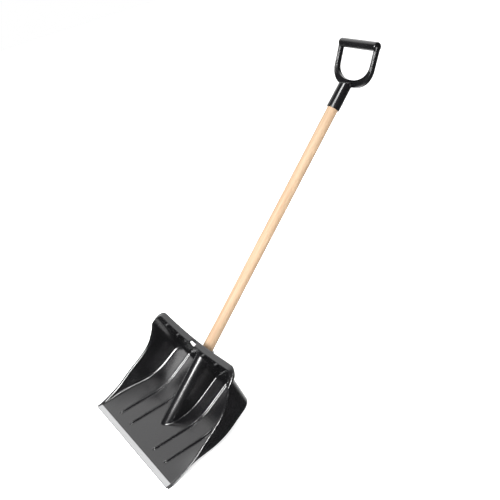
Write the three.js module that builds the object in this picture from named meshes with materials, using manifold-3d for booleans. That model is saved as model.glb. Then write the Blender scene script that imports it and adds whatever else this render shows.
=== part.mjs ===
// Snow shovel: plastic scoop with a riveted metal edge strip, round wooden shaft, plastic D-grip.
// Millimetres, +Z up. X runs across the scoop, +Y runs back from the front edge towards the grip.
// The origin is on the flat underside of the scoop's pan, PAN_REF behind the front edge.
import * as THREE from "three";
import { mergeVertices } from "three/addons/utils/BufferGeometryUtils.js";
import Module from "manifold-3d";

const wasm = await Module();
wasm.setup();

// Driving dimensions
const PAN_REF = 90; // origin to front edge
const GAP = 0.3; // clearance between touching pieces
const SKIN = 3; // wall thickness of the scoop moulding

const FRONT_HALF = 207; // half width of the pan at its front edge
const REAR_HALF = 190; // half width of the pan at its rear
const FLARE_LENGTH = 260; // length over which the pan narrows from one to the other
const DISH = { width: 60, height: 12, rear: 9.5, from: 16, full: 106 }; // the pan's raised margins
const DISH_REAR = { from: 150, to: 230 }; // where the margin's height goes over to the rear one
const RAMP_START = 178; // where the flat pan turns up
const RAMP_BEND = 38; // half length of that bend
const CREASE_Y = 279; // foot of the back wall
const CREASE_Z = 61; // height of the pan's upper face there
const FLOOR_CORNER = 24; // corner radius in plan at the foot of the walls

const RIM_HALF_FRONT = 211; // half width inside the rim, front and back
const RIM_HALF_REAR = 204;
const RIM_TAPER = { from: 90, to: 240 }; // where it goes over from one to the other
const RIM_CORNER = 26; // corner radius in plan at the rim
const RIM_Y = 245; // front edge of the top flange
const RIM_Z = 188; // its height
const CORNER_Z = 158; // height of the rim where the side turns into the corner
const RIM_DIP = 7; // how far the flange dips at its middle
const RIM_BOW = 3; // and how far it bows forwards there
const LIP = { width: 8, drop: 3.5 }; // the rim's lip along the sides: out, then down
const FLANGE = { width: 18, rise: 5, drop: 18 }; // the flange along the back: out, up, then down
const FILLET = 7; // reach of the bend at the foot of the walls

const RIB_X = [69.5, 133.4]; // pan ribs each side of the middle
const RIB = { start: 36, width: 9, height: 5.5 };
const LUG = { width: 7, depth: 7, height: 18 };
const NOTCH_HALF = 14; // half width of the notch in the flange
const NOTCH_REACH = 11; // how far it reaches back from the flange's front edge

const SHAFT_R = 15.3;
const LIFT = THREE.MathUtils.degToRad(41.7); // shaft angle above the pan
const AXIS_Y = 124; // where the shaft's axis meets the plane of the pan's underside
const SHAFT_START = 42; // lower end of the shaft, along its axis from that point
const SOCKET_R = 20.7; // outside radius of the scoop's socket
const COLLAR_START = 160; // its round collar behind the back wall, along the axis
const SOCKET_END = 214;
const TROUGH_END = 175; // rear end of the open trough below the socket, along the axis

const GRIP_SOCKET = { start: 949, end: 1028, rLow: 18.7, rHigh: 18.2 };
const SHAFT_END = 1016; // upper end of the shaft, inside the grip
const GRIP_TILT = THREE.MathUtils.degToRad(19.6); // D-loop's plane against the shaft
const LOOP = { along: 1025.5, below: 18.6, half: 72.5, straight: 66, bottom: 10.7, barAt: 119.5 };
const ARM = { width: 11, rootWidth: 20.5, thick: 13 };
const BAR = { half: 76.5, r: 13 };

const STRIP = { half: 210, depth: 13, under: 16, metal: 1, front: 1.2 };
const RIVET = { count: 5, pitch: 84, y: 10, headR: 3.2, shankR: 1.8 };
const SCREW = { headR: 4.2, headH: 2.4, shankR: 2, length: 15 };
const SCOOP_SCREW_AT = 120; // places of the two screws along the shaft's axis
const GRIP_SCREW_AT = 975;
const SADDLE = SHAFT_R + GAP + 3.5; // underside of the socket below the shaft's axis

// ---------- solids ----------

function manifoldOf(geometry) {
  const bare = geometry.index ? geometry.toNonIndexed() : geometry.clone();
  bare.deleteAttribute("normal");
  bare.deleteAttribute("uv");
  const merged = mergeVertices(bare, 1e-4);
  return new wasm.Manifold(
    new wasm.Mesh({
      numProp: 3,
      vertProperties: merged.attributes.position.array,
      triVerts: new Uint32Array(merged.index.array),
    }),
  );
}

// A geometry from a list of corners, three to a triangle.
function fromCorners(corners) {
  const geometry = new THREE.BufferGeometry();
  const position = new Float32Array(corners.flatMap((v) => v.toArray()));
  return geometry.setAttribute("position", new THREE.BufferAttribute(position, 3));
}

function geometryOf(solid) {
  const mesh = solid.getMesh();
  const geometry = new THREE.BufferGeometry();
  geometry.setAttribute("position", new THREE.BufferAttribute(mesh.vertProperties, 3));
  geometry.setIndex(new THREE.BufferAttribute(mesh.triVerts, 1));
  const flat = geometry.toNonIndexed();
  flat.computeVertexNormals();
  return flat;
}

// Extrudes a closed outline of [y, z] points across X, from -half to +half.
function prismAcross(outline, half) {
  const shape = new THREE.Shape(outline.map(([y, z]) => new THREE.Vector2(y, z)));
  const solid = new THREE.ExtrudeGeometry(shape, { depth: 2 * half, bevelEnabled: false });
  const yzx = new THREE.Matrix4().set(0, 0, 1, -half, 1, 0, 0, 0, 0, 1, 0, 0, 0, 0, 0, 1);
  return solid.applyMatrix4(yzx);
}

// Local frame of the shaft: x across, y out of the shaft's upper side, z up along its axis.
const alongShaft = new THREE.Vector3(0, Math.cos(LIFT), Math.sin(LIFT));
const aboveShaft = new THREE.Vector3(0, -Math.sin(LIFT), Math.cos(LIFT));
const shaftFrame = new THREE.Matrix4()
  .makeBasis(new THREE.Vector3(-1, 0, 0), aboveShaft, alongShaft)
  .setPosition(0, AXIS_Y, 0);

function shaftPoint(along, above) {
  return new THREE.Vector3(0, AXIS_Y, 0)
    .addScaledVector(alongShaft, along)
    .addScaledVector(aboveShaft, above);
}

// A turned solid about the shaft's axis from [radius, distance along the axis] points.
function turned(profile, sides) {
  const points = profile.map(([r, along]) => new THREE.Vector2(r, along));
  const solid = new THREE.LatheGeometry(points, sides);
  solid.applyMatrix4(new THREE.Matrix4().makeRotationX(Math.PI / 2));
  return solid.applyMatrix4(shaftFrame);
}

function rod(radius, from, to, sides) {
  return turned([[0, from], [radius, from], [radius, to], [0, to]], sides);
}

// ---------- scoop ----------

function smooth(t) {
  const x = Math.min(1, Math.max(0, t));
  return x * x * (3 - 2 * x);
}

// Height of the pan's upper face: flat, a rounded bend, then a straight ramp to the crease.
function panHeight(y) {
  const slope = (CREASE_Z - SKIN) / (CREASE_Y - RAMP_START);
  const past = y - RAMP_START;
  if (past <= -RAMP_BEND) return SKIN;
  if (past >= RAMP_BEND) return SKIN + slope * past;
  return SKIN + (slope * (past + RAMP_BEND) ** 2) / (4 * RAMP_BEND);
}

function floorHalf(y) {
  return THREE.MathUtils.lerp(FRONT_HALF, REAR_HALF, smooth(y / FLARE_LENGTH));
}

// How much the pan rises towards the foot of the side walls.
function dish(x, y) {
  const toRear = smooth((y - DISH_REAR.from) / (DISH_REAR.to - DISH_REAR.from));
  const grow = smooth((y - DISH.from) / (DISH.full - DISH.from));
  const inward = Math.max(0, (floorHalf(y) - Math.abs(x)) / DISH.width);
  return THREE.MathUtils.lerp(DISH.height, DISH.rear, toRear) * grow * Math.max(0, 1 - inward) ** 2;
}

function floorPoint(x, y) {
  return new THREE.Vector3(x, y, panHeight(y) + dish(x, y));
}

function rimHalf(y) {
  const taper = smooth((y - RIM_TAPER.from) / (RIM_TAPER.to - RIM_TAPER.from));
  return THREE.MathUtils.lerp(RIM_HALF_FRONT, RIM_HALF_REAR, taper);
}

// Height of the side rim over its distance back from the front edge.
const rimCurve = new THREE.SplineCurve(
  [
    [0, 3],
    [14, 5],
    [40, 14],
    [78, 30.5],
    [121, 57.5],
    [157, 79],
    [190, 104],
    [208, 128],
    [223, CORNER_Z],
  ].map(([y, z]) => new THREE.Vector2(y, z)),
);
const rimSamples = rimCurve.getPoints(90);

function rimHeight(y) {
  const i = rimSamples.findIndex((p) => p.x >= y);
  if (i <= 0) return i === 0 ? rimSamples[0].y : rimSamples.at(-1).y;
  const a = rimSamples[i - 1];
  const b = rimSamples[i];
  return a.y + ((b.y - a.y) * (y - a.x)) / (b.x - a.x);
}

const SIDE_STEPS = 15;
const CORNER_STEPS = 8; // even, so that a station lies on the corner's middle
const BACK_STEPS = 8; // half of the back, from a corner to the middle

// Half of a U-shaped plan outline, from the front left, round the corner, to the middle of the back.
function halfOutline(half, back, corner) {
  const points = [];
  const straight = back - corner;
  for (let i = 0; i < SIDE_STEPS; i++) {
    const y = (straight * i) / SIDE_STEPS;
    points.push({ x: -half(y), y, turn: 0, nx: -1, ny: 0 });
  }
  const centreX = -half(straight) + corner;
  for (let i = 0; i <= CORNER_STEPS; i++) {
    const a = (Math.PI / 2) * (i / CORNER_STEPS);
    const nx = -Math.cos(a);
    const ny = Math.sin(a);
    points.push({ x: centreX + corner * nx, y: straight + corner * ny, turn: i / CORNER_STEPS, nx, ny });
  }
  for (let i = 1; i <= BACK_STEPS; i++) {
    points.push({ x: centreX * (1 - i / BACK_STEPS), y: back, turn: 1, nx: 0, ny: 1 });
  }
  return points;
}

// The wall's section at every station of the left half, from the pan to the turned-down lip.
function wallSections() {
  const foot = halfOutline(floorHalf, CREASE_Y, FLOOR_CORNER);
  const top = halfOutline(rimHalf, RIM_Y, RIM_CORNER);
  return foot.map((f, i) => {
    const t = top[i];
    const middle = t.turn === 1 ? Math.cos((Math.PI / 2) * (t.x / (RIM_HALF_REAR - RIM_CORNER))) : 0;
    const cornerZ = THREE.MathUtils.lerp(CORNER_Z, RIM_Z, Math.sin((Math.PI / 2) * t.turn));
    const edgeZ = t.turn === 0 ? rimHeight(t.y) : cornerZ;
    const edge = new THREE.Vector3(t.x, t.y - RIM_BOW * middle, edgeZ - RIM_DIP * middle);
    const corner = floorPoint(f.x, f.y);
    const up = edge.clone().sub(corner);
    const reach = Math.min(FILLET, 0.4 * up.length());
    const inner = floorPoint(f.x - f.nx * reach, f.y - f.ny * reach);
    const high = corner.clone().addScaledVector(up, reach / up.length());
    const bend = corner.clone().multiplyScalar(0.5).addScaledVector(inner, 0.25).addScaledVector(high, 0.25);
    const back = smooth(t.turn);
    const lip = THREE.MathUtils.lerp(LIP.width, FLANGE.width, back);
    const outer = edge.clone().add(new THREE.Vector3(t.nx * lip, t.ny * lip, FLANGE.rise * back));
    const hem = outer.clone().setZ(outer.z - THREE.MathUtils.lerp(LIP.drop, FLANGE.drop, back));
    return [inner, bend, high, high.clone().lerp(edge, 0.5), edge, outer, hem];
  });
}

// The moulding's skin: a grid over the pan joined to the wall's sections, given its thickness downwards.
function skinGeometry() {
  const left = wallSections();
  const mirrored = (v) => new THREE.Vector3(-v.x, v.y, v.z);
  const sections = [...left, ...left.slice(0, -1).reverse().map((row) => row.map(mirrored))];
  const along = SIDE_STEPS + CORNER_STEPS / 2; // cells from front to back
  const across = CORNER_STEPS + 2 * BACK_STEPS; // cells from side to side
  const points = [];
  const triangles = [];
  const ring = sections.map((row) => row.map((v) => points.push(v) - 1));
  const stationOf = (u, v) => {
    if (u === 0) return v;
    if (u === across) return sections.length - 1 - v;
    return v === along ? along + u : -1;
  };
  const pan = [];
  for (let u = 0; u <= across; u++) {
    pan.push([]);
    for (let v = 0; v <= along; v++) {
      const station = stationOf(u, v);
      if (station >= 0) {
        pan[u].push(ring[station][0]);
        continue;
      }
      const s = u / across;
      const t = v / along;
      const l = sections[v][0];
      const b = sections[along + u][0];
      const f = { x: sections[0][0].x * (1 - 2 * s) };
      const endX = THREE.MathUtils.lerp(sections[0][0].x, sections[along][0].x, t);
      const x = (l.x - endX) * (1 - 2 * s) + THREE.MathUtils.lerp(f.x, b.x, t);
      const y = l.y + t * (b.y - sections[along][0].y);
      pan[u].push(points.push(floorPoint(x, y)) - 1);
    }
  }
  const quad = (a, b, c, d) => triangles.push([a, b, c], [a, c, d]);
  for (let u = 0; u < across; u++) {
    for (let v = 0; v < along; v++) quad(pan[u][v], pan[u + 1][v], pan[u + 1][v + 1], pan[u][v + 1]);
  }
  for (let i = 0; i + 1 < sections.length; i++) {
    for (let j = 0; j + 1 < sections[0].length; j++) {
      quad(ring[i][j], ring[i + 1][j], ring[i + 1][j + 1], ring[i][j + 1]);
    }
  }
  return thickened(points, triangles, SKIN);
}

// Closes an open surface into a solid by a copy of it offset against its normals.
function thickened(points, triangles, thickness) {
  const normals = points.map(() => new THREE.Vector3());
  for (const [a, b, c] of triangles) {
    const n = points[b].clone().sub(points[a]).cross(points[c].clone().sub(points[a]));
    for (const i of [a, b, c]) normals[i].add(n);
  }
  const under = points.map((p, i) => p.clone().addScaledVector(normals[i].normalize(), -thickness));
  const all = [...points, ...under];
  const n = points.length;
  const edges = new Map();
  const faces = [];
  for (const [a, b, c] of triangles) {
    faces.push([a, b, c], [a + n, c + n, b + n]);
    for (const [p, q] of [[a, b], [b, c], [c, a]]) {
      if (!edges.delete(q + "," + p)) edges.set(p + "," + q, [p, q]);
    }
  }
  for (const [p, q] of edges.values()) faces.push([q, p, p + n], [q, p + n, q + n]);
  return fromCorners(faces.flat().map((i) => all[i]));
}

// A pan rib: a low half-round ridge that follows the pan and dies away at its front end.
function ribGeometry(x) {
  const stations = 12;
  const end = CREASE_Y - 1;
  const points = [];
  const triangles = [];
  const sides = 6;
  for (let i = 0; i <= stations; i++) {
    const y = THREE.MathUtils.lerp(RIB.start, end, i / stations);
    const grow = 0.35 + 0.65 * smooth(i / 2);
    for (let j = 0; j <= sides; j++) {
      const a = (Math.PI * j) / sides;
      const across = (RIB.width / 2) * Math.cos(a) * grow;
      const lift = RIB.height * Math.sin(a) * grow - (j === 0 || j === sides ? 1 : 0);
      points.push(new THREE.Vector3(x + across, y, panHeight(y) + lift));
    }
  }
  const id = (i, j) => i * (sides + 1) + (j % (sides + 1));
  for (let i = 0; i < stations; i++) {
    for (let j = 0; j <= sides; j++) {
      triangles.push([id(i, j), id(i + 1, j + 1), id(i, j + 1)]);
      triangles.push([id(i, j), id(i + 1, j), id(i + 1, j + 1)]);
    }
  }
  for (let j = 1; j < sides; j++) {
    triangles.push([id(0, 0), id(0, j), id(0, j + 1)]);
    triangles.push([id(stations, 0), id(stations, j + 1), id(stations, j)]);
  }
  return fromCorners(triangles.flat().map((i) => points[i]));
}

// A small gusset under the flange's front edge.
function lugGeometry(x) {
  const sag = Math.cos((Math.PI / 2) * (Math.abs(x) / (RIM_HALF_REAR - RIM_CORNER)));
  const front = RIM_Y - RIM_BOW * sag;
  const top = RIM_Z - RIM_DIP * sag - 1;
  const lean = (CREASE_Y - RIM_Y) / (RIM_Z - CREASE_Z);
  const outline = [
    [front + 2, top],
    [front + 1.5 + lean * LUG.height, top - LUG.height],
    [front - LUG.depth, top - 5],
    [front - LUG.depth, top],
  ];
  return prismAcross(outline, LUG.width / 2).translate(x, 0, 0);
}

// Everything under the skin's middle layer near the middle of the scoop, as a [y, z] outline.
function belowSkinOutline() {
  const half = SKIN / 2;
  const points = [[-50, half]];
  const step = RAMP_BEND / 4;
  for (let y = RAMP_START - RAMP_BEND; y < CREASE_Y; y += step) points.push([y, panHeight(y) - half]);
  const wall = [[CREASE_Y + half, CREASE_Z], [RIM_Y + half - RIM_BOW, RIM_Z]];
  return [...points, ...wall, [700, 700], [700, -200], [-50, -200]];
}

// The socket's outer form: an arched ridge, coaxial with the shaft, that stands on the pan.
function socketRidge() {
  const depth = 60; // down from the shaft's axis, past the pan
  const [from, to] = [-30, 230]; // along it, past the pan's front part and the back wall
  const arch = new THREE.Shape();
  arch.moveTo(-SOCKET_R, -depth);
  arch.lineTo(SOCKET_R, -depth);
  arch.lineTo(SOCKET_R, 0);
  arch.absarc(0, 0, SOCKET_R, 0, Math.PI, false);
  const ridge = new THREE.ExtrudeGeometry(arch, { depth: to - from, bevelEnabled: false, curveSegments: 14 });
  const solid = manifoldOf(ridge.translate(0, 0, from).applyMatrix4(shaftFrame));
  return solid.subtract(manifoldOf(prismAcross(belowSkinOutline(), 60)));
}

// The open trough under the socket tube, seen from below the pan.
function socketTrough() {
  const clear = SKIN + 4; // height of the trough's roof at its front end
  const rear = CREASE_Y - 12;
  const first = (clear + SADDLE * Math.cos(LIFT)) / Math.sin(LIFT);
  const low = shaftPoint(first, -SADDLE);
  const high = shaftPoint(TROUGH_END, -SADDLE);
  const outline = [
    [low.y, -20],
    [rear, -20],
    [rear, panHeight(rear)],
    [high.y, high.z],
    [low.y, low.z],
  ];
  return manifoldOf(prismAcross(outline, SOCKET_R - SKIN));
}

// A pan-head screw up into the shaft, its head against a surface below the shaft's axis.
function screwGeometry(along, surface, grow) {
  const { headR, headH, shankR, length } = SCREW;
  const profile = [
    [0, -headH],
    [headR + grow, -headH],
    [headR + grow, 0],
    [shankR + grow, 0],
    [shankR + grow, length + grow],
    [0, length + grow],
  ];
  const screw = new THREE.LatheGeometry(profile.map(([r, h]) => new THREE.Vector2(r, h)), 16);
  screw.translate(0, -surface, 0);
  return screw.applyMatrix4(new THREE.Matrix4().makeTranslation(0, 0, along)).applyMatrix4(shaftFrame);
}

function scoopGeometry() {
  let scoop = manifoldOf(skinGeometry()).add(socketRidge());
  scoop = scoop.add(manifoldOf(rod(SOCKET_R, COLLAR_START, SOCKET_END, 32)));
  for (const side of [-1, 1]) {
    for (const x of RIB_X) {
      scoop = scoop.add(manifoldOf(ribGeometry(side * x)));
      scoop = scoop.add(manifoldOf(lugGeometry(side * x)));
    }
  }
  const ahead = 4; // how far the notch's cutter starts ahead of the flange
  const notch = new THREE.BoxGeometry(2 * NOTCH_HALF, NOTCH_REACH + ahead, 2 * FLANGE.width);
  notch.translate(0, RIM_Y - RIM_BOW + (NOTCH_REACH - ahead) / 2, RIM_Z);
  scoop = scoop.subtract(manifoldOf(notch));
  scoop = scoop.subtract(socketTrough());
  scoop = scoop.subtract(manifoldOf(rod(SHAFT_R + GAP, SHAFT_START - GAP, SOCKET_END + 60, 32)));
  scoop = scoop.subtract(manifoldOf(screwGeometry(SCOOP_SCREW_AT, SADDLE + GAP, GAP)));
  return geometryOf(edgeThinned(scoop));
}

// The front edge is thinned above and below, so that the strip sits round it.
function edgeThinned(solid) {
  const { half, depth, under, metal } = STRIP;
  const rebate = metal + GAP;
  const past = 5; // how far the cutters reach past the moulding
  const cutter = (reach, low, high) => {
    const block = new THREE.BoxGeometry(2 * (half + GAP), reach + past, high - low);
    return manifoldOf(block.translate(0, (reach - past) / 2, (low + high) / 2));
  };
  let thinned = solid.subtract(cutter(depth + GAP, SKIN - rebate, SKIN + past));
  thinned = thinned.subtract(cutter(under + GAP, -past, rebate));
  thinned = thinned.subtract(cutter(GAP, -past, SKIN + past));
  for (const x of rivetPlaces()) thinned = thinned.subtract(manifoldOf(rivetGeometry(x, GAP)));
  return thinned;
}

// ---------- edge strip and rivets ----------

function rivetPlaces() {
  return Array.from({ length: RIVET.count }, (_, i) => (i - (RIVET.count - 1) / 2) * RIVET.pitch);
}

// A countersunk rivet set up into the pan from below.
function rivetGeometry(x, grow) {
  const { headR, shankR, y } = RIVET;
  const top = SKIN - STRIP.metal - 2 * GAP;
  const profile = [
    [0, -grow * 3],
    [headR + grow, -grow * 3],
    [headR + grow, 0],
    [shankR + grow, STRIP.metal + grow],
    [shankR + grow, top + grow],
    [0, top + grow],
  ];
  const rivet = new THREE.LatheGeometry(profile.map(([r, h]) => new THREE.Vector2(r, h)), 16);
  return rivet.rotateX(Math.PI / 2).translate(x, y, 0);
}

function stripGeometry() {
  const { half, depth, under, metal, front } = STRIP;
  const outline = [
    [-front, 0],
    [under, 0],
    [under, metal],
    [0, metal],
    [0, SKIN - metal],
    [depth, SKIN - metal],
    [depth, SKIN],
    [-front + 0.8, SKIN],
    [-front, SKIN - 0.8],
  ];
  let strip = manifoldOf(prismAcross(outline, half));
  for (const x of rivetPlaces()) strip = strip.subtract(manifoldOf(rivetGeometry(x, GAP)));
  return geometryOf(strip);
}

// ---------- shaft ----------

function shaftGeometry() {
  const ease = 2;
  const body = turned(
    [
      [0, SHAFT_START],
      [SHAFT_R - ease, SHAFT_START],
      [SHAFT_R, SHAFT_START + ease],
      [SHAFT_R, SHAFT_END - ease],
      [SHAFT_R - ease, SHAFT_END],
      [0, SHAFT_END],
    ],
    32,
  );
  return geometryOf(
    manifoldOf(body)
      .subtract(manifoldOf(screwGeometry(SCOOP_SCREW_AT, SADDLE + GAP, GAP)))
      .subtract(manifoldOf(screwGeometry(GRIP_SCREW_AT, GRIP_SOCKET.rLow + GAP, GAP))),
  );
}

// ---------- D-grip ----------

// Frame of the D-loop: x across, y along the loop towards the bar, z out of its upper face.
const loopUp = alongShaft
  .clone()
  .multiplyScalar(Math.cos(GRIP_TILT))
  .addScaledVector(aboveShaft, Math.sin(GRIP_TILT));
const loopFrame = new THREE.Matrix4()
  .makeBasis(new THREE.Vector3(1, 0, 0), loopUp, new THREE.Vector3(1, 0, 0).cross(loopUp))
  .setPosition(shaftPoint(LOOP.along, -LOOP.below));

// Centre line of the yoke: down one arm, round the bottom of the D, and up the other arm.
function yokePath() {
  const { half, straight, bottom, barAt } = LOOP;
  const armSteps = 4;
  const splay = 1.5; // the arms stand this much wider at the bar
  const bowlSteps = 26;
  const squareness = 2 / 2.3;
  const arm = Array.from({ length: armSteps }, (_, i) => {
    const toBowl = i / armSteps;
    return new THREE.Vector3(-half - splay * (1 - toBowl), THREE.MathUtils.lerp(barAt, straight, toBowl), 0);
  });
  const bowl = Array.from({ length: bowlSteps + 1 }, (_, i) => {
    const a = (Math.PI * i) / bowlSteps;
    const x = -half * Math.sign(Math.cos(a)) * Math.abs(Math.cos(a)) ** squareness;
    const down = Math.abs(Math.sin(a)) ** squareness;
    return new THREE.Vector3(x, THREE.MathUtils.lerp(straight, bottom, down), 0);
  });
  const otherArm = arm.map((p) => new THREE.Vector3(-p.x, p.y, 0)).reverse();
  return [...arm, ...bowl, ...otherArm];
}

// The yoke: a chamfered bar along that line, which widens towards the root of the D.
function yokeGeometry() {
  const path = yokePath();
  const chamfer = 2.5;
  const rings = path.map((p, i) => {
    const ahead = path[Math.min(i + 1, path.length - 1)].clone().sub(path[Math.max(i - 1, 0)]);
    const inward = new THREE.Vector3(-ahead.y, ahead.x, 0).normalize();
    const root = smooth((LOOP.straight - p.y) / (LOOP.straight - LOOP.bottom));
    const w = THREE.MathUtils.lerp(ARM.width, ARM.rootWidth, root) / 2;
    const t = ARM.thick / 2;
    const section = [
      [w - chamfer, -t], [w, chamfer - t], [w, t - chamfer], [w - chamfer, t],
      [chamfer - w, t], [-w, t - chamfer], [-w, chamfer - t], [chamfer - w, -t],
    ];
    return section.map(([u, z]) => p.clone().addScaledVector(inward, u).setZ(z));
  });
  return sweptGeometry(rings);
}

// A solid through rings of points, with flat ends.
function sweptGeometry(rings) {
  const count = rings[0].length;
  const last = rings.length - 1;
  const triangles = [];
  for (let i = 0; i < last; i++) {
    for (let k = 0; k < count; k++) {
      const m = (k + 1) % count;
      triangles.push(rings[i][k], rings[i][m], rings[i + 1][m]);
      triangles.push(rings[i][k], rings[i + 1][m], rings[i + 1][k]);
    }
  }
  for (let k = 1; k < count - 1; k++) {
    triangles.push(rings[0][0], rings[0][k + 1], rings[0][k]);
    triangles.push(rings[last][0], rings[last][k], rings[last][k + 1]);
  }
  return fromCorners(triangles);
}

// The space over the D's root, where the end of the grip's socket is cut off at a slant.
function aboveRoot() {
  const { end } = GRIP_SOCKET;
  const corners = [[end - 8, 20], [end + 10, -10], [end + 42, -10], [end + 42, 40], [end - 8, 40]];
  const outline = corners.map(([along, above]) => shaftPoint(along, above));
  return prismAcross(outline.map((p) => [p.y, p.z]), 40);
}

function gripGeometry() {
  let grip = manifoldOf(yokeGeometry().applyMatrix4(loopFrame));
  const bar = new THREE.CylinderGeometry(BAR.r, BAR.r, 2 * BAR.half, 24).rotateZ(Math.PI / 2);
  bar.translate(0, LOOP.barAt, 0).applyMatrix4(loopFrame);
  grip = grip.add(manifoldOf(bar));
  const { start, end, rLow, rHigh } = GRIP_SOCKET;
  const tip = end + 8;
  const socket = turned([[0, start], [rLow, start], [rHigh, end - 4], [rHigh - 4, tip], [0, tip]], 32);
  grip = grip.add(manifoldOf(socket).subtract(manifoldOf(aboveRoot())));
  grip = grip.subtract(manifoldOf(rod(SHAFT_R + GAP, start - 20, SHAFT_END + GAP, 32)));
  grip = grip.subtract(manifoldOf(screwGeometry(GRIP_SCREW_AT, rLow + GAP, GAP)));
  return geometryOf(grip);
}

// ---------- assembly ----------

const blackPlastic = new THREE.MeshStandardMaterial({ color: 0x17181a, roughness: 0.32, metalness: 0 });
const paleMetal = new THREE.MeshStandardMaterial({ color: 0xd5d8da, roughness: 0.35, metalness: 0.9 });
const zincSteel = new THREE.MeshStandardMaterial({ color: 0xa9adb0, roughness: 0.4, metalness: 0.9 });
const wood = new THREE.MeshStandardMaterial({ color: 0xe6c39a, roughness: 0.6, metalness: 0 });

const shovel = new THREE.Group();
shovel.position.y = -PAN_REF;

function addPiece(name, geometry, material) {
  const mesh = new THREE.Mesh(geometry, material.clone());
  mesh.name = name;
  shovel.add(mesh);
}

addPiece("scoop", scoopGeometry(), blackPlastic);
addPiece("edge_strip", stripGeometry(), paleMetal);
rivetPlaces().forEach((x, i) => addPiece("strip_rivet_" + (i + 1), rivetGeometry(x, 0), zincSteel));
addPiece("shaft", shaftGeometry(), wood);
addPiece("scoop_screw", screwGeometry(SCOOP_SCREW_AT, SADDLE + GAP, 0), zincSteel);
addPiece("d_grip", gripGeometry(), blackPlastic);
addPiece("grip_screw", screwGeometry(GRIP_SCREW_AT, GRIP_SOCKET.rLow + GAP, 0), zincSteel);

export default shovel;
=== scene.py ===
"""Snow shovel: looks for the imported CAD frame. Lengths are in metres, in the row frame."""

import math

import bmesh
import bpy
import numpy as np
from mathutils import Matrix, Vector


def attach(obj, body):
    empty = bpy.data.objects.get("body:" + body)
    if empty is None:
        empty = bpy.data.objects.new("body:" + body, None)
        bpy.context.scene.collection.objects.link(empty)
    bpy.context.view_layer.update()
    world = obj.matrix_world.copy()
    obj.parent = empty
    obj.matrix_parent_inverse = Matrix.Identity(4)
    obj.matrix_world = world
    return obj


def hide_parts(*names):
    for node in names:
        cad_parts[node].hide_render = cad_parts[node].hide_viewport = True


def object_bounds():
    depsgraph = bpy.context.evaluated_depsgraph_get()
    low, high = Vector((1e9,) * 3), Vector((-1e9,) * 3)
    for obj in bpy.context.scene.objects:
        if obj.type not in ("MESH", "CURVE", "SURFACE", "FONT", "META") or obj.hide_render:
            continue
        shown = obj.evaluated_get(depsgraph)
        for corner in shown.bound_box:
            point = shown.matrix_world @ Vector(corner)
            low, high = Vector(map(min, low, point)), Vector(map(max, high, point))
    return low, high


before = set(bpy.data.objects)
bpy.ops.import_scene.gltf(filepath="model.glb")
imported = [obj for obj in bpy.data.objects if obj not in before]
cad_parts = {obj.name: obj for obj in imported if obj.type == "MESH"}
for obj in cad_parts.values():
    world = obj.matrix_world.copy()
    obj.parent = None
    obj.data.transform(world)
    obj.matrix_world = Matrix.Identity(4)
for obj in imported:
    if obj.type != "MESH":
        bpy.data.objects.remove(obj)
cad_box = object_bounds()
MM = 0.001

# Driving dimensions, the same as the CAD part's. Places along the scoop count back from its front edge.
FRONT_Y = -90 * MM  # the scoop's front edge in the row frame
GAP = 0.3 * MM  # clearance between touching pieces
SKIN = 3 * MM  # wall thickness of the scoop

FRONT_HALF = 207 * MM  # half width of the pan at its front edge and at its rear
REAR_HALF = 190 * MM
FLARE_LENGTH = 260 * MM  # length over which the pan narrows
DISH_WIDTH = 60 * MM  # the pan rises over this width towards the side walls
DISH_HEIGHT = 12 * MM
DISH_REAR = 9.5 * MM
DISH_GROWS = (16 * MM, 106 * MM)  # where the rise starts and where it is full
DISH_SINKS = (150 * MM, 230 * MM)  # where it goes over to its rear height
RAMP_START = 178 * MM  # where the flat pan turns up
RAMP_BEND = 38 * MM  # half length of that bend
CREASE_Y = 279 * MM  # foot of the back wall
CREASE_Z = 61 * MM
FLOOR_CORNER = 24 * MM  # corner radius in plan at the foot of the walls
FILLET = 7 * MM  # reach of the bend at the foot of the walls

RIM_HALF_FRONT = 211 * MM  # half width inside the rim, front and back
RIM_HALF_REAR = 204 * MM
RIM_TAPERS = (90 * MM, 240 * MM)  # where it goes over from one to the other
RIM_CORNER = 26 * MM  # corner radius in plan at the rim
RIM_Y = 245 * MM  # front edge of the top flange
RIM_Z = 188 * MM
CORNER_Z = 158 * MM  # height of the rim where the side turns into the corner
RIM_DIP = 7 * MM  # how far the flange dips and bows forwards at its middle
RIM_BOW = 3 * MM
LIP = 8 * MM  # the rim's lip along the sides: out, then down
LIP_DROP = 3.5 * MM
RIM_EDGE = 4.5 * MM  # reach of the rounding at the lip's inner edge
FLANGE = 18 * MM  # the flange along the back: out, up, then down
FLANGE_RISE = 5 * MM
FLANGE_DROP = 18 * MM
FLANGE_EDGE = 1.5 * MM
OUTER_EDGE = 2.5 * MM  # reach of the rounding where the lip turns down
# (distance back, height) of the side rim in millimetres
RIM_HEIGHTS = (
    (0, 3),
    (14, 5),
    (40, 14),
    (78, 30.5),
    (121, 57.5),
    (157, 79),
    (190, 104),
    (208, 128),
    (223, 158),
)

RIB_X = (69.5 * MM, 133.4 * MM)  # pan ribs each side of the middle
RIB_START = 36 * MM
RIB_WIDTH = 9 * MM
RIB_HEIGHT = 5.5 * MM
LUG_WIDTH = 7 * MM
LUG_DEPTH = 7 * MM
LUG_NOSE = 5 * MM  # height of the lug's front face
LUG_HEIGHT = 18 * MM
NOTCH_HALF = 14 * MM  # half width of the notch in the flange
NOTCH_REACH = 11 * MM  # how far it reaches back from the flange's front edge

STRIP_HALF = 210 * MM
STRIP_DEPTH = 13 * MM  # how far the strip reaches back above and below the front edge
STRIP_UNDER = 16 * MM
STRIP_METAL = 1 * MM

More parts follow.
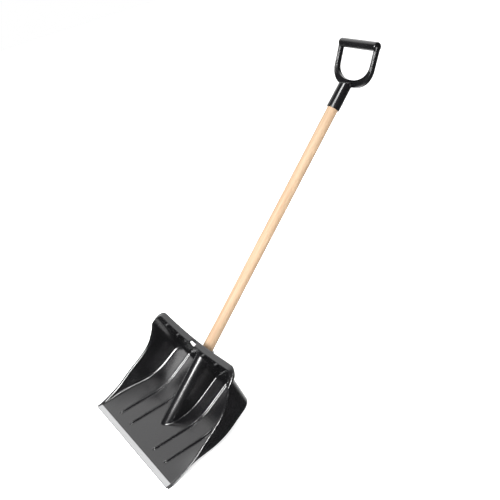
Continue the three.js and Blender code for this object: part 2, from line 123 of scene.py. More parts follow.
SHAFT_R = 15.3 * MM
LIFT = math.radians(41.7)  # shaft angle above the pan
AXIS_Y = 124 * MM  # where the shaft's axis meets the plane of the pan's underside
SHAFT_START = 42 * MM  # places along the shaft's axis count from that point
SHAFT_END = 1016 * MM
SOCKET_R = 20.7 * MM  # outside radius of the scoop's socket
COLLAR_START = 160 * MM  # its round collar behind the back wall
SOCKET_END = 214 * MM
SADDLE = SHAFT_R + GAP + 3.5 * MM  # underside of the socket below the axis
TROUGH_START = 26 * MM  # the open trough below the saddle
TROUGH_END = 175 * MM

GRIP_START = 949 * MM  # the grip's socket
GRIP_END = 1028 * MM
GRIP_R = 18.7 * MM
GRIP_TILT = math.radians(19.6)  # the D-loop's plane against the shaft
LOOP_ALONG = 1025.5 * MM  # the D-loop's origin: along the shaft's axis and below it
LOOP_BELOW = 18.6 * MM
LOOP_HALF = 72.5 * MM  # half width of the D between its arms' middles
LOOP_SPLAY = 1.5 * MM  # the arms stand this much wider at the bar
LOOP_STRAIGHT = 66 * MM  # the arms are straight from here up
LOOP_BOTTOM = 10.7 * MM
BAR_AT = 119.5 * MM
BAR_HALF = 76.5 * MM
BAR_R = 13 * MM
ARM_WIDTH = 11 * MM
ARM_ROOT_WIDTH = 20.5 * MM
ARM_THICK = 13 * MM

# Looks, light and camera
BLACK = (0.004, 0.004, 0.0044)
STRIP_GREY = (0.43, 0.433, 0.436)
FIXING_GREY = (0.6, 0.61, 0.62)
WOOD_PALE = (0.39, 0.285, 0.19)
WOOD_DARK = (0.34, 0.225, 0.14)
WOOD_FLECK = (0.29, 0.18, 0.1)
FLOOR_HALF = 6  # metres
FLOOR_GLOW = 0.8
WALL = 1.75  # brightness of the wall that the plastic reflects, and of the room round it
ROOM = 0.06
WALL_DIRECTION = (-0.31, 0.95, 0)
WALL_EDGE = (-0.12, 0.1)  # the wall fades in over this much of the cosine to its direction
LEFT_DIRECTION = (-1, 0, 0)
LEFT_EDGE = (-0.1, 0.45)
TARGET = Vector((0, 0.15, 0.1))
KEY_DIRECTION = Vector((0.4, -0.573, 0.715))
GRIP_SHINE_DIRECTION = Vector((0.4, -0.4, 0.82))
CAMERA_PLACE = Vector((1.6215, -0.4332, 1.3315))
CAMERA_RIGHT = Vector((0.57102, 0.79645, -0.19902))
CAMERA_FORWARD = Vector((-0.78005, 0.45084, -0.43389))
LENS = 55.05
SHIFT = (-0.0561, -0.0832)

ALONG = Vector((0, math.cos(LIFT), math.sin(LIFT)))
ABOVE = Vector((0, -math.sin(LIFT), math.cos(LIFT)))
ACROSS = Vector((1, 0, 0))
AXIS_FOOT = Vector((0, FRONT_Y + AXIS_Y, 0))


def basis(x, y, z, origin):
    """The matrix that takes local x, y and z to these directions, from this origin."""
    rotation = Matrix((x, y, z)).transposed().to_4x4()
    return Matrix.Translation(origin) @ rotation


SHAFT_FRAME = basis(-ACROSS, ABOVE, ALONG, AXIS_FOOT)


# ---------- mesh helpers ----------


def mesh_object(name, points, faces):
    mesh = bpy.data.meshes.new(name)
    mesh.from_pydata([tuple(p) for p in points], [], faces)
    mesh.validate()
    piece = bpy.data.objects.new(name, mesh)
    bpy.context.scene.collection.objects.link(piece)
    return piece


def recalculate_normals(piece):
    edit = bmesh.new()
    edit.from_mesh(piece.data)
    bmesh.ops.recalc_face_normals(edit, faces=edit.faces)
    edit.to_mesh(piece.data)
    edit.free()


def apply_modifiers(piece):
    """Replaces the piece's mesh by what its modifiers make of it."""
    bpy.context.view_layer.update()
    evaluated = piece.evaluated_get(bpy.context.evaluated_depsgraph_get())
    made = bpy.data.meshes.new_from_object(evaluated)
    piece.modifiers.clear()
    piece.data = made


def smooth_shade(piece):
    piece.data.polygons.foreach_set("use_smooth", [True] * len(piece.data.polygons))


def remove(piece):
    bpy.data.objects.remove(piece, do_unlink=True)


def combine(piece, other, operation):
    boolean = piece.modifiers.new("combine", "BOOLEAN")
    boolean.operation = operation
    boolean.solver = "MANIFOLD"
    boolean.object = other
    apply_modifiers(piece)
    remove(other)


def cut(piece, cutter):
    combine(piece, cutter, "DIFFERENCE")


def joined(name, pieces):
    points, faces = [], []
    for piece in pieces:
        start = len(points)
        points += [piece.matrix_world @ v.co for v in piece.data.vertices]
        faces += [[start + i for i in face.vertices] for face in piece.data.polygons]
        remove(piece)
    return mesh_object(name, points, faces)


def melt(piece, voxel, rounds, faces):
    """Makes one skin round overlapping solids, rounds its creases off and thins it to that many faces."""
    remesh = piece.modifiers.new("remesh", "REMESH")
    remesh.mode = "VOXEL"
    remesh.voxel_size = voxel
    apply_modifiers(piece)
    smooth = piece.modifiers.new("smooth", "SMOOTH")
    smooth.factor = 0.5
    smooth.iterations = rounds
    apply_modifiers(piece)
    triangles = sum(len(p.vertices) - 2 for p in piece.data.polygons)
    if triangles > faces:
        thin = piece.modifiers.new("thin", "DECIMATE")
        thin.ratio = faces / triangles
        apply_modifiers(piece)


def swept(name, rings, closed=False):
    """A tube through rings of points, with flat ends, or joined end to end."""
    count = len(rings[0])
    points = [p for ring in rings for p in ring]
    faces = []
    spans = len(rings) if closed else len(rings) - 1
    for i in range(spans):
        j = (i + 1) % len(rings)
        for k in range(count):
            m = (k + 1) % count
            faces.append((i * count + k, i * count + m, j * count + m, j * count + k))
    if not closed:
        faces.append(tuple(range(count))[::-1])
        faces.append(tuple((len(rings) - 1) * count + k for k in range(count)))
    piece = mesh_object(name, points, faces)
    recalculate_normals(piece)
    return piece


def turned(name, profile, sides, place):
    """A turned solid about local Z from (radius, height) points, put in place by a matrix."""
    rings = []
    for radius, height in profile:
        turns = [2 * math.pi * k / sides for k in range(sides)]
        rings.append([place @ Vector((radius * math.cos(a), radius * math.sin(a), height)) for a in turns])
    return swept(name, rings)


def prism_across(name, outline, half, x=0.0):
    """Extrudes an outline of (y, z) points across X."""
    return swept(name, [[Vector((x + side, y, z)) for y, z in outline] for side in (-half, half)])


# ---------- scoop ----------


def ease(t):
    t = min(1.0, max(0.0, t))
    return t * t * (3 - 2 * t)


def ease_between(x, span):
    """0 before a span and 1 after it, with a smooth change within it."""
    return ease((x - span[0]) / (span[1] - span[0]))


def mix(a, b, t):
    return a + (b - a) * t


def pan_height(y):
    """Height of the pan's upper face, with y counted from the front edge."""
    slope = (CREASE_Z - SKIN) / (CREASE_Y - RAMP_START)
    past = y - RAMP_START
    if past <= -RAMP_BEND:
        return SKIN
    if past >= RAMP_BEND:
        return SKIN + slope * past
    return SKIN + slope * (past + RAMP_BEND) ** 2 / (4 * RAMP_BEND)


def floor_half(y):
    return mix(FRONT_HALF, REAR_HALF, ease(y / FLARE_LENGTH))


def dish(x, y):
    """How much the pan rises towards the foot of the side walls."""
    height = mix(DISH_HEIGHT, DISH_REAR, ease_between(y, DISH_SINKS)) * ease_between(y, DISH_GROWS)
    inward = max(0.0, (floor_half(y) - abs(x)) / DISH_WIDTH)
    return height * max(0.0, 1 - inward) ** 2


def floor_point(x, y):
    return Vector((x, y, pan_height(y) + dish(x, y)))


def rim_half(y):
    return mix(RIM_HALF_FRONT, RIM_HALF_REAR, ease_between(y, RIM_TAPERS))


def smooth_curve(points):
    """A monotone cubic through (x, y) points, as a function of x."""
    xs = [p[0] * MM for p in points]
    ys = [p[1] * MM for p in points]
    slopes = [(ys[i + 1] - ys[i]) / (xs[i + 1] - xs[i]) for i in range(len(xs) - 1)]
    inner = [2 * a * b / (a + b) if a * b > 0 else 0 for a, b in zip(slopes, slopes[1:])]
    grades = [slopes[0], *inner, slopes[-1]]

    def value(x):
        i = max(0, min(len(xs) - 2, sum(1 for known in xs[1:-1] if x > known)))
        h = xs[i + 1] - xs[i]
        t = min(1.0, max(0.0, (x - xs[i]) / h))
        a = ys[i] * (1 + 2 * t) * (1 - t) ** 2 + grades[i] * h * t * (1 - t) ** 2
        return a + ys[i + 1] * t * t * (3 - 2 * t) + grades[i + 1] * h * t * t * (t - 1)

    return value


rim_height = smooth_curve(RIM_HEIGHTS)

SIDE_STEPS = 36
CORNER_STEPS = 16  # even, so that a station lies on the corner's middle
BACK_STEPS = 20  # half of the back, from a corner to the middle


def half_outline(half, back, corner):
    """Half of a U-shaped plan outline: the left side, the corner, and the back to its middle."""
    stations = []
    straight = back - corner
    for i in range(SIDE_STEPS):
        y = straight * i / SIDE_STEPS
        stations.append({"x": -half(y), "y": y, "turn": 0.0, "out": Vector((-1, 0, 0))})
    centre = -half(straight) + corner
    for i in range(CORNER_STEPS + 1):
        a = math.pi / 2 * i / CORNER_STEPS
        out = Vector((-math.cos(a), math.sin(a), 0))
        place = {"x": centre + corner * out.x, "y": straight + corner * out.y}
        stations.append({**place, "turn": i / CORNER_STEPS, "out": out})
    for i in range(1, BACK_STEPS + 1):
        x = centre * (1 - i / BACK_STEPS)
        stations.append({"x": x, "y": back, "turn": 1.0, "out": Vector((0, 1, 0))})
    return stations


def middle_share(x):
    """1 at the middle of the flange and 0 at its corners."""
    return math.cos(math.pi / 2 * abs(x) / (RIM_HALF_REAR - RIM_CORNER))


def rounded(before, corner, after, steps):
    """Points round a corner, on the curve that leaves before and meets after."""
    shares = [k / steps for k in range(steps + 1)]
    return [before * (1 - t) ** 2 + corner * 2 * t * (1 - t) + after * t**2 for t in shares]


def wall_sections():
    """The wall's section at each station of the left half, from the pan up to the turned-down lip."""
    foot = half_outline(floor_half, CREASE_Y, FLOOR_CORNER)
    top = half_outline(rim_half, RIM_Y, RIM_CORNER)
    down = Vector((0, 0, -1))
    sections = []
    for f, t in zip(foot, top):
        turn, out = t["turn"], t["out"]
        middle = middle_share(t["x"]) if turn == 1 else 0.0
        height = rim_height(t["y"]) if turn == 0 else mix(CORNER_Z, RIM_Z, math.sin(math.pi / 2 * turn))
        edge = Vector((t["x"], t["y"] - RIM_BOW * middle, height - RIM_DIP * middle))
        corner = floor_point(f["x"], f["y"])
        up = edge - corner
        reach = min(FILLET, 0.4 * up.length)
        inner = floor_point(f["x"] - f["out"].x * reach, f["y"] - f["out"].y * reach)
        high = corner + up * (reach / up.length)
        edge_reach = min(mix(RIM_EDGE, FLANGE_EDGE, ease(2 * turn)), 0.3 * up.length)
        low = edge - up * (edge_reach / up.length)
        lip = mix(LIP, FLANGE, ease(turn))
        outer = edge + out * lip - down * mix(0, FLANGE_RISE, ease(turn))
        across = (outer - edge) / lip
        drop = mix(LIP_DROP, FLANGE_DROP, ease(turn))
        row = rounded(inner, corner, high, 4)
        row += [high + (low - high) * step for step in (0.25, 0.5, 0.75)]
        row += rounded(low, edge, edge + across * edge_reach, 4)
        row += rounded(outer - across * OUTER_EDGE, outer, outer + down * OUTER_EDGE, 3)
        row.append(outer + down * drop)
        sections.append(row)
    return sections


def skin_surface():
    """Points and quads of the moulding's upper face."""
    left = wall_sections()
    right = [[Vector((-p.x, p.y, p.z)) for p in row] for row in left[-2::-1]]
    sections = left + right
    rows = len(sections[0])
    along = SIDE_STEPS + CORNER_STEPS // 2
    across = CORNER_STEPS + 2 * BACK_STEPS
    points = [p for row in sections for p in row]
    ring = [[i * rows + j for j in range(rows)] for i in range(len(sections))]

    def station(u, v):
        if u == 0:
            return v
        if u == across:
            return len(sections) - 1 - v
        return along + u if v == along else None

    pan = []
    for u in range(across + 1):
        column = []
        s = u / across
        for v in range(along + 1):
            known = station(u, v)
            if known is not None:
                column.append(ring[known][0])
                continue
            t = v / along
            side = sections[v][0]
            back = sections[along + u][0]
            end = sections[along][0]
            x = (side.x - t * end.x) * (1 - 2 * s) + t * back.x
            y = side.y + t * (back.y - end.y)
            column.append(len(points))
            points.append(floor_point(x, y))
        pan.append(column)
    quads = []
    for u in range(across):
        for v in range(along):
            quads.append((pan[u][v], pan[u + 1][v], pan[u + 1][v + 1], pan[u][v + 1]))
    for i in range(len(sections) - 1):
        for j in range(rows - 1):
            quads.append((ring[i][j], ring[i + 1][j], ring[i + 1][j + 1], ring[i][j + 1]))
    return points, quads


def thickened(name, points, quads, thickness):
    """Closes an open surface into a solid by a copy of it offset downwards."""
    places = np.array([tuple(p) for p in points])
    faces = np.array(quads)
    diagonal = places[faces[:, 2]] - places[faces[:, 0]]
    other = places[faces[:, 3]] - places[faces[:, 1]]
    face_normals = np.cross(diagonal, other)
    normals = np.zeros_like(places)
    for k in range(4):
        np.add.at(normals, faces[:, k], face_normals)
    normals /= np.linalg.norm(normals, axis=1)[:, None]
    under = places - normals * thickness
    count = len(places)
    edges = {}
    for quad in quads:
        for k in range(4):
            a, b = quad[k], quad[(k + 1) % 4]
            if (b, a) in edges:
                del edges[(b, a)]
            else:
                edges[(a, b)] = True
    solid = list(quads) + [tuple(i + count for i in quad[::-1]) for quad in quads]
    solid += [(b, a, a + count, b + count) for a, b in edges]
    placed = np.vstack([places, under])
    placed[:, 1] += FRONT_Y
    return mesh_object(name, placed.tolist(), solid)


def rib(x):
    """A low round ridge that follows the pan, with a rounded front tip."""
    sides, steps = 12, 40
    sunk = 1.5 * MM
    tip = RIB_WIDTH / 2
    length = CREASE_Y - RIB_START
    stations = [tip * share for share in (0.02, 0.1, 0.3, 0.6, 1)]
    stations += [tip + (length - tip) * i / steps for i in range(1, steps + 1)]
    rings = []
    for distance in stations:
        grow = math.sqrt(1 - (1 - min(1, distance / tip)) ** 2)
        y = RIB_START + distance
        section = []
        for k in range(sides + 1):
            a = math.pi * k / sides
            section.append((tip * math.cos(a) * grow, RIB_HEIGHT * math.sin(a) ** 0.8 * grow))
        section += [(-tip * grow, -sunk), (tip * grow, -sunk)]
        rings.append([Vector((x + across, FRONT_Y + y, pan_height(y) + lift)) for across, lift in section])
    return swept("rib", rings)


def lug(x):
    """A small gusset under the flange's front edge."""
    front = FRONT_Y + RIM_Y - RIM_BOW * middle_share(x)
    top = RIM_Z - RIM_DIP * middle_share(x) - 0.5 * MM
    lean = (CREASE_Y - RIM_Y) / (RIM_Z - CREASE_Z)
    outline = [
        (front + 2 * MM, top),
        (front + 1.5 * MM + lean * LUG_HEIGHT, top - LUG_HEIGHT),
        (front - LUG_DEPTH, top - LUG_NOSE),
        (front - LUG_DEPTH, top),
    ]
    return prism_across("lug", outline, LUG_WIDTH / 2, x)


def below_skin():
    """A block that fills everything under the middle of the skin's thickness, near the scoop's middle."""
    ahead, behind, under = -50 * MM, 700 * MM, -200 * MM
    outline = [(ahead, SKIN / 2)]
    y = RAMP_START - RAMP_BEND
    while y < CREASE_Y:
        outline.append((y, pan_height(y) - SKIN / 2))
        y += RAMP_BEND / 4
    outline += [(CREASE_Y + SKIN / 2, CREASE_Z), (RIM_Y + 2 * MM - RIM_BOW, RIM_Z)]
    outline += [(behind, behind), (behind, under), (ahead, under)]
    return prism_across("below", [(FRONT_Y + y, z) for y, z in outline], 60 * MM)


def socket_ridge():
    """The socket's outer form inside the scoop: an arched ridge that stands on the pan."""
    depth, sides = 60 * MM, 32
    section = [(-SOCKET_R, -depth), (SOCKET_R, -depth)]
    for k in range(sides + 1):
        a = math.pi * k / sides
        section.append((SOCKET_R * math.cos(a), SOCKET_R * math.sin(a)))
    ends = (-30 * MM, 230 * MM)
    ridge = swept("ridge", [[SHAFT_FRAME @ Vector((x, y, along)) for x, y in section] for along in ends])
    cut(ridge, below_skin())
    return ridge


def socket_trough():
    """The open trough below the socket's saddle."""
    front, back = [AXIS_FOOT - ABOVE * SADDLE + ALONG * along for along in (TROUGH_START, TROUGH_END)]
    start, rear, under = front.y + 12 * MM, FRONT_Y + CREASE_Y - 12 * MM, -20 * MM
    outline = [(start, under), (rear, under), (rear, 54 * MM), (back.y, back.z), (start, SKIN + 4 * MM)]
    return prism_across("trough", outline, SOCKET_R - SKIN)


def shaft_bore(start, end):
    radius = SHAFT_R + GAP
    return turned("bore", [(radius, start), (radius, end)], 64, SHAFT_FRAME)


def flange_notch():
    start, end = RIM_Y - RIM_BOW - 4 * MM, RIM_Y - RIM_BOW + NOTCH_REACH
    return block_across("notch", start, end, RIM_Z - 20 * MM, RIM_Z + 20 * MM, NOTCH_HALF)


def block_across(name, start, end, low, high, half):
    """A block between two places back from the scoop's front edge and between two heights."""
    near, far = FRONT_Y + start, FRONT_Y + end
    return prism_across(name, [(near, low), (far, low), (far, high), (near, high)], half)


def thin_front_edge(scoop):
    """Cuts the front edge back above and below, so that the strip sits round it."""
    rebate, past, half = STRIP_METAL + GAP, 5 * MM, STRIP_HALF + GAP
    cut(scoop, block_across("rebate", -past, STRIP_DEPTH + GAP, SKIN - rebate, SKIN + past, half))
    cut(scoop, block_across("rebate", -past, STRIP_UNDER + GAP, -past, rebate, half))


def scoop_piece():
    skin = thickened("skin", *skin_surface(), SKIN)
    ridge = socket_ridge()
    collar = turned("collar", [(SOCKET_R, COLLAR_START), (SOCKET_R, SOCKET_END)], 64, SHAFT_FRAME)
    for solid in (skin, ridge, collar):
        cut(solid, socket_trough())
        cut(solid, shaft_bore(SHAFT_START - GAP, SOCKET_END + 60 * MM))
    cut(skin, flange_notch())
    places = [side * x for side in (-1, 1) for x in RIB_X]
    scoop = joined("scoop_moulding", [skin, ridge, collar, *(rib(x) for x in places)])
    melt(scoop, voxel=1.3 * MM, rounds=4, faces=180000)
    thin_front_edge(scoop)
    for x in places:
        combine(scoop, lug(x), "UNION")
    smooth_shade(scoop)
    scoop.data.set_sharp_from_angle(angle=math.radians(35))
    return scoop


# ---------- materials ----------


def new_material(name):
    material = bpy.data.materials.new(name)
    material.use_nodes = True
    nodes = material.node_tree.nodes
    return material, nodes, material.node_tree.links, nodes["Principled BSDF"]


def texture_space(nodes, links, place, scale):
    """Texture coordinates in the object's own space, turned by a matrix and scaled."""
    coordinates = nodes.new("ShaderNodeTexCoord")
    mapping = nodes.new("ShaderNodeMapping")
    mapping.vector_type = "TEXTURE"
    mapping.inputs["Rotation"].default_value = place.to_euler()
    links.new(coordinates.outputs["Object"], mapping.inputs["Vector"])
    stretch = nodes.new("ShaderNodeMapping")
    stretch.inputs["Scale"].default_value = scale
    links.new(mapping.outputs["Vector"], stretch.inputs["Vector"])
    return stretch.outputs["Vector"]


def noise(nodes, links, vector, scale, detail=4.0, distortion=0.0):
    texture = nodes.new("ShaderNodeTexNoise")
    texture.inputs["Scale"].default_value = scale
    texture.inputs["Detail"].default_value = detail
    texture.inputs["Distortion"].default_value = distortion
    links.new(vector, texture.inputs["Vector"])
    return texture.outputs["Fac"]


def spread(nodes, links, value, low, high, to_low=0.0, to_high=1.0):
    remap = nodes.new("ShaderNodeMapRange")
    remap.inputs["From Min"].default_value = low
    remap.inputs["From Max"].default_value = high
    remap.inputs["To Min"].default_value = to_low
    remap.inputs["To Max"].default_value = to_high
    links.new(value, remap.inputs["Value"])
    return remap.outputs["Result"]


def blend_colours(nodes, links, share, first, second):
    blend = nodes.new("ShaderNodeMix")
    blend.data_type = "RGBA"
    for socket, colour in ((blend.inputs["A"], first), (blend.inputs["B"], second)):
        if hasattr(colour, "is_output"):
            links.new(colour, socket)
        else:
            socket.default_value = (*colour, 1)
    links.new(share, blend.inputs["Factor"])
    return blend.outputs["Result"]


def add_bump(nodes, links, shader, height, distance):
    bump = nodes.new("ShaderNodeBump")
    bump.inputs["Strength"].default_value = 1.0
    bump.inputs["Distance"].default_value = distance
    links.new(height, bump.inputs["Height"])
    links.new(bump.outputs["Normal"], shader.inputs["Normal"])


IDENTITY = Matrix.Identity(4)


def moulded_plastic(name, colour, roughness):
    """Black moulded polypropylene with soft flow marks and a very fine grain."""
    material, nodes, links, shader = new_material(name)
    space = texture_space(nodes, links, IDENTITY, (1, 1, 1))
    flow = noise(nodes, links, space, 14, 3, 0.4)
    grain = noise(nodes, links, space, 900, 2)
    pale = tuple(c * 1.6 for c in colour)
    links.new(blend_colours(nodes, links, flow, colour, pale), shader.inputs["Base Color"])
    rough = spread(nodes, links, flow, 0.35, 0.7, roughness - 0.04, roughness + 0.06)
    links.new(rough, shader.inputs["Roughness"])
    shader.inputs["IOR"].default_value = 1.5
    add_bump(nodes, links, shader, grain, 0.03 * MM)
    return material


def brushed_metal(name, colour, roughness):
    """Metal with fine streaks along the strip's length."""
    material, nodes, links, shader = new_material(name)
    space = texture_space(nodes, links, IDENTITY, (6, 240, 240))
    streaks = noise(nodes, links, space, 6, 3)
    shade = spread(nodes, links, streaks, 0.3, 0.7)
    dark = tuple(c * 0.86 for c in colour)
    links.new(blend_colours(nodes, links, shade, dark, colour), shader.inputs["Base Color"])
    rough = spread(nodes, links, streaks, 0.3, 0.7, roughness - 0.05, roughness + 0.1)
    links.new(rough, shader.inputs["Roughness"])
    shader.inputs["Metallic"].default_value = 1.0
    add_bump(nodes, links, shader, streaks, 0.02 * MM)
    return material


def shaft_wood():
    """Pale beech with its grain along the shaft."""
    material, nodes, links, shader = new_material("shaft_wood")
    turn = SHAFT_FRAME.to_3x3()
    rings = noise(nodes, links, texture_space(nodes, links, turn, (1, 1, 0.035)), 150, 3, 0.6)
    pores = noise(nodes, links, texture_space(nodes, links, turn, (1, 1, 0.06)), 1500, 2)
    band = spread(nodes, links, rings, 0.35, 0.68)
    base = blend_colours(nodes, links, band, WOOD_PALE, WOOD_DARK)
    flecks = spread(nodes, links, pores, 0.6, 0.72, 0, 0.3)
    links.new(blend_colours(nodes, links, flecks, base, WOOD_FLECK), shader.inputs["Base Color"])
    links.new(spread(nodes, links, rings, 0.3, 0.7, 0.42, 0.55), shader.inputs["Roughness"])
    shader.inputs["Specular IOR Level"].default_value = 0.1
    add_bump(nodes, links, shader, pores, 0.02 * MM)
    return material


# ---------- pieces ----------


def quarter_turn(radius, steps=5):
    """(sine, cosine) pairs of a quarter turn, times the radius."""
    angles = [math.pi / 2 * k / steps for k in range(steps + 1)]
    return [(radius * math.sin(a), radius * math.cos(a)) for a in angles]


def shaft_piece():
    """A plain round rod with rounded ends."""
    edge_r, steps = 2 * MM, 24
    inner, low, high = SHAFT_R - edge_r, SHAFT_START + edge_r, SHAFT_END - edge_r
    profile = [(inner + sine, low - cosine) for sine, cosine in quarter_turn(edge_r)]
    profile += [(SHAFT_R, mix(low, high, k / steps)) for k in range(1, steps)]
    profile += [(inner + cosine, high + sine) for sine, cosine in quarter_turn(edge_r)]
    shaft = turned("shaft_rod", profile, 96, SHAFT_FRAME)
    smooth_shade(shaft)
    return shaft


LOOP_UP = ALONG * math.cos(GRIP_TILT) + ABOVE * math.sin(GRIP_TILT)
LOOP_OUT = ACROSS.cross(LOOP_UP)
LOOP_FRAME = basis(ACROSS, LOOP_UP, LOOP_OUT, AXIS_FOOT + ALONG * LOOP_ALONG - ABOVE * LOOP_BELOW)


def yoke_path():
    """The D's centre line in its own plane: down one arm, round the bottom and up the other."""
    arm_steps, bend_steps = 24, 60
    power = 2 / 2.3  # a little squarer than a half ellipse
    points = []
    for k in range(arm_steps):
        y = mix(BAR_AT, LOOP_STRAIGHT, k / arm_steps)
        points.append(Vector((-(LOOP_HALF + LOOP_SPLAY * (1 - k / arm_steps)), y, 0)))
    for k in range(bend_steps + 1):
        a = math.pi * k / bend_steps
        x = -LOOP_HALF * math.copysign(abs(math.cos(a)) ** power, math.cos(a))
        y = LOOP_STRAIGHT - (LOOP_STRAIGHT - LOOP_BOTTOM) * math.sin(a) ** power
        points.append(Vector((x, y, 0)))
    points += [Vector((-p.x, p.y, 0)) for p in points[:arm_steps][::-1]]
    return points


def yoke():
    """The yoke's arms, with a groove along their upper and lower faces; they widen at the root."""
    path = yoke_path()
    groove, rail, slant = 3.4 * MM, 2.8 * MM, 0.5 * MM
    half_t = ARM_THICK / 2
    rings = []
    for k, p in enumerate(path):
        ahead = path[min(k + 1, len(path) - 1)] - path[max(k - 1, 0)]
        outward = Vector((-ahead.y, ahead.x, 0)).normalized()
        root = ease((LOOP_STRAIGHT - p.y) / (LOOP_STRAIGHT - LOOP_BOTTOM))
        half_w = mix(ARM_WIDTH, ARM_ROOT_WIDTH, root) / 2
        side = [
            (half_w, half_t), (half_w - rail, half_t), (half_w - rail - slant, half_t - groove),
        ]
        upper = side + [(-u, w) for u, w in side[::-1]]
        section = upper + [(u, -w) for u, w in upper[::-1]]
        rings.append([LOOP_FRAME @ (p - outward * u + Vector((0, 0, w))) for u, w in section])
    return swept("yoke", rings)


def grip_bar():
    """The cross bar, with rounded ends."""
    round_r = 4 * MM
    inner, flat = BAR_R - round_r, BAR_HALF - round_r
    end = [(inner + cosine, flat + sine) for sine, cosine in quarter_turn(round_r)]
    profile = [(r, -h) for r, h in end[::-1]] + end
    place = LOOP_FRAME @ Matrix.Translation((0, BAR_AT, 0)) @ Matrix.Rotation(math.pi / 2, 4, "Y")
    return turned("bar", profile, 64, place)


def grip_socket():
    """The socket's outer form, with its end slanted where it runs into the yoke."""
    tail, chamfer = GRIP_END - 4 * MM, 0.8 * MM
    profile = [
        (GRIP_R - chamfer, GRIP_START),
        (GRIP_R, GRIP_START + chamfer),
        (GRIP_R - 0.5 * MM, tail),
        (GRIP_R - 1.7 * MM, tail + 5 * MM),
        (GRIP_R - 4.5 * MM, GRIP_END + 8 * MM),
    ]
    socket = turned("socket", profile, 64, SHAFT_FRAME)
    # (millimetres along the axis, millimetres above it) round what the slant takes away
    slant = ((1020, 20), (1038, -10), (1070, -10), (1070, 40), (1020, 40))
    corners = [AXIS_FOOT + ALONG * (along * MM) + ABOVE * (above * MM) for along, above in slant]
    cut(socket, prism_across("slant", [(p.y, p.z) for p in corners], 40 * MM))
    return socket


def grip_piece():
    grip = joined("grip_moulding", [yoke(), grip_bar(), grip_socket()])
    melt(grip, voxel=0.7 * MM, rounds=3, faces=120000)
    cut(grip, shaft_bore(GRIP_START - 20 * MM, SHAFT_END + GAP))
    smooth_shade(grip)
    return grip


def stage_floor(height):
    """A large pale sheet of paper under the shovel."""
    corners = [(x * FLOOR_HALF, y * FLOOR_HALF, height) for x, y in ((-1, -1), (1, -1), (1, 1), (-1, 1))]
    floor = mesh_object("floor", corners, [(0, 1, 2, 3)])
    material, nodes, links, shader = new_material("floor_paper")
    space = texture_space(nodes, links, IDENTITY, (1, 1, 1))
    tone = noise(nodes, links, space, 3)
    paper = blend_colours(nodes, links, tone, (0.9, 0.9, 0.9), (0.92, 0.92, 0.92))
    links.new(paper, shader.inputs["Base Color"])
    shader.inputs["Roughness"].default_value = 0.9
    shader.inputs["Emission Color"].default_value = (1, 1, 1, 1)
    shader.inputs["Emission Strength"].default_value = FLOOR_GLOW
    floor.data.materials.append(material)
    floor.visible_glossy = False
    return floor


def finish_piece(piece, node, material):
    piece.data.materials.clear()
    piece.data.materials.append(material)
    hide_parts(node)
    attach(piece, "root")


def dress_node(node, material):
    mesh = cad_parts[node].data
    mesh.materials.clear()
    mesh.materials.append(material)


scoop_plastic = moulded_plastic("scoop_plastic", BLACK, 0.2)
grip_plastic = moulded_plastic("grip_plastic", BLACK, 0.22)
strip_metal = brushed_metal("strip_metal", STRIP_GREY, 0.3)
fixing_metal = brushed_metal("fixing_metal", FIXING_GREY, 0.35)

finish_piece(scoop_piece(), "scoop", scoop_plastic)
finish_piece(shaft_piece(), "shaft", shaft_wood())
finish_piece(grip_piece(), "d_grip", grip_plastic)
dress_node("edge_strip", strip_metal)
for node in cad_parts:
    if node.startswith("strip_rivet") or node.endswith("_screw"):
        dress_node(node, fixing_metal)

stage_floor(cad_box[0][2])


# ---------- light and camera ----------


def softbox(name, place, target, size, power, reflected_only=False):
    data = bpy.data.lights.new(name, "AREA")
    data.shape = "RECTANGLE"
    data.size, data.size_y = size
    data.energy = power
    lamp = bpy.data.objects.new(name, data)
    bpy.context.scene.collection.objects.link(lamp)
    lamp.location = place
    lamp.rotation_euler = (target - place).to_track_quat("-Z", "Y").to_euler()
    lamp.visible_camera = False
    lamp.visible_diffuse = not reflected_only


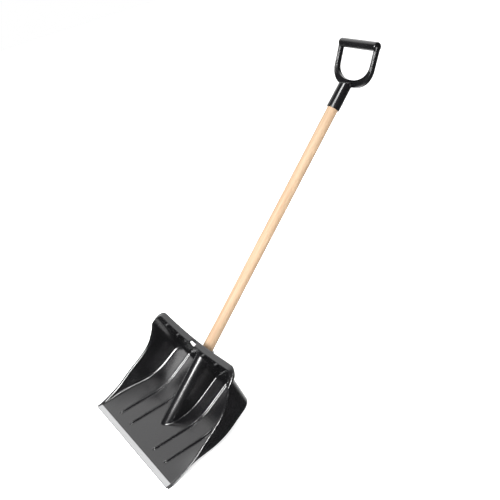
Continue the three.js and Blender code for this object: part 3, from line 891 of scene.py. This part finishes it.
def world_share(nodes, links, direction, low, high):
    """0 where the sky faces away from a direction and 1 where it faces it, with a soft edge."""
    sky = nodes.new("ShaderNodeTexCoord")
    dot = nodes.new("ShaderNodeVectorMath")
    dot.operation = "DOT_PRODUCT"
    dot.inputs[1].default_value = direction
    links.new(sky.outputs["Generated"], dot.inputs[0])
    return spread(nodes, links, dot.outputs["Value"], low, high)


def studio_world():
    """A white wall behind and left of the shovel and a dim room elsewhere; plain white to the camera."""
    world = bpy.data.worlds.new("studio")
    bpy.context.scene.world = world
    world.use_nodes = True
    nodes, links = world.node_tree.nodes, world.node_tree.links
    behind = world_share(nodes, links, WALL_DIRECTION, *WALL_EDGE)
    left = world_share(nodes, links, LEFT_DIRECTION, *LEFT_EDGE)
    wall = nodes.new("ShaderNodeMath")
    wall.operation = "MULTIPLY"
    links.new(behind, wall.inputs[0])
    links.new(left, wall.inputs[1])
    lit = blend_colours(nodes, links, wall.outputs["Value"], (ROOM,) * 3, (WALL,) * 3)
    path = nodes.new("ShaderNodeLightPath")
    seen = blend_colours(nodes, links, path.outputs["Is Camera Ray"], lit, (1.0, 1.0, 1.0))
    links.new(seen, nodes["Background"].inputs["Color"])


def look_through_camera():
    """The photograph's view."""
    data = bpy.data.cameras.new("camera")
    data.sensor_width = 36
    data.lens = LENS
    data.shift_x, data.shift_y = SHIFT
    camera = bpy.data.objects.new("camera", data)
    bpy.context.scene.collection.objects.link(camera)
    upward = CAMERA_RIGHT.cross(CAMERA_FORWARD)
    camera.matrix_world = basis(CAMERA_RIGHT, upward, -CAMERA_FORWARD, CAMERA_PLACE)
    bpy.context.scene.camera = camera


softbox("key", TARGET + KEY_DIRECTION * 2.4, TARGET, (1.5, 1.0), 150)
softbox("shine", TARGET + KEY_DIRECTION * 2.3, TARGET, (1.2, 0.9), 90, reflected_only=True)
grip_place = AXIS_FOOT + ALONG * GRIP_END
grip_shine_place = grip_place + GRIP_SHINE_DIRECTION * 2
softbox("grip_shine", grip_shine_place, grip_place, (0.7, 0.5), 28, reflected_only=True)
studio_world()
bpy.context.scene.view_settings.view_transform = "Standard"
look_through_camera()
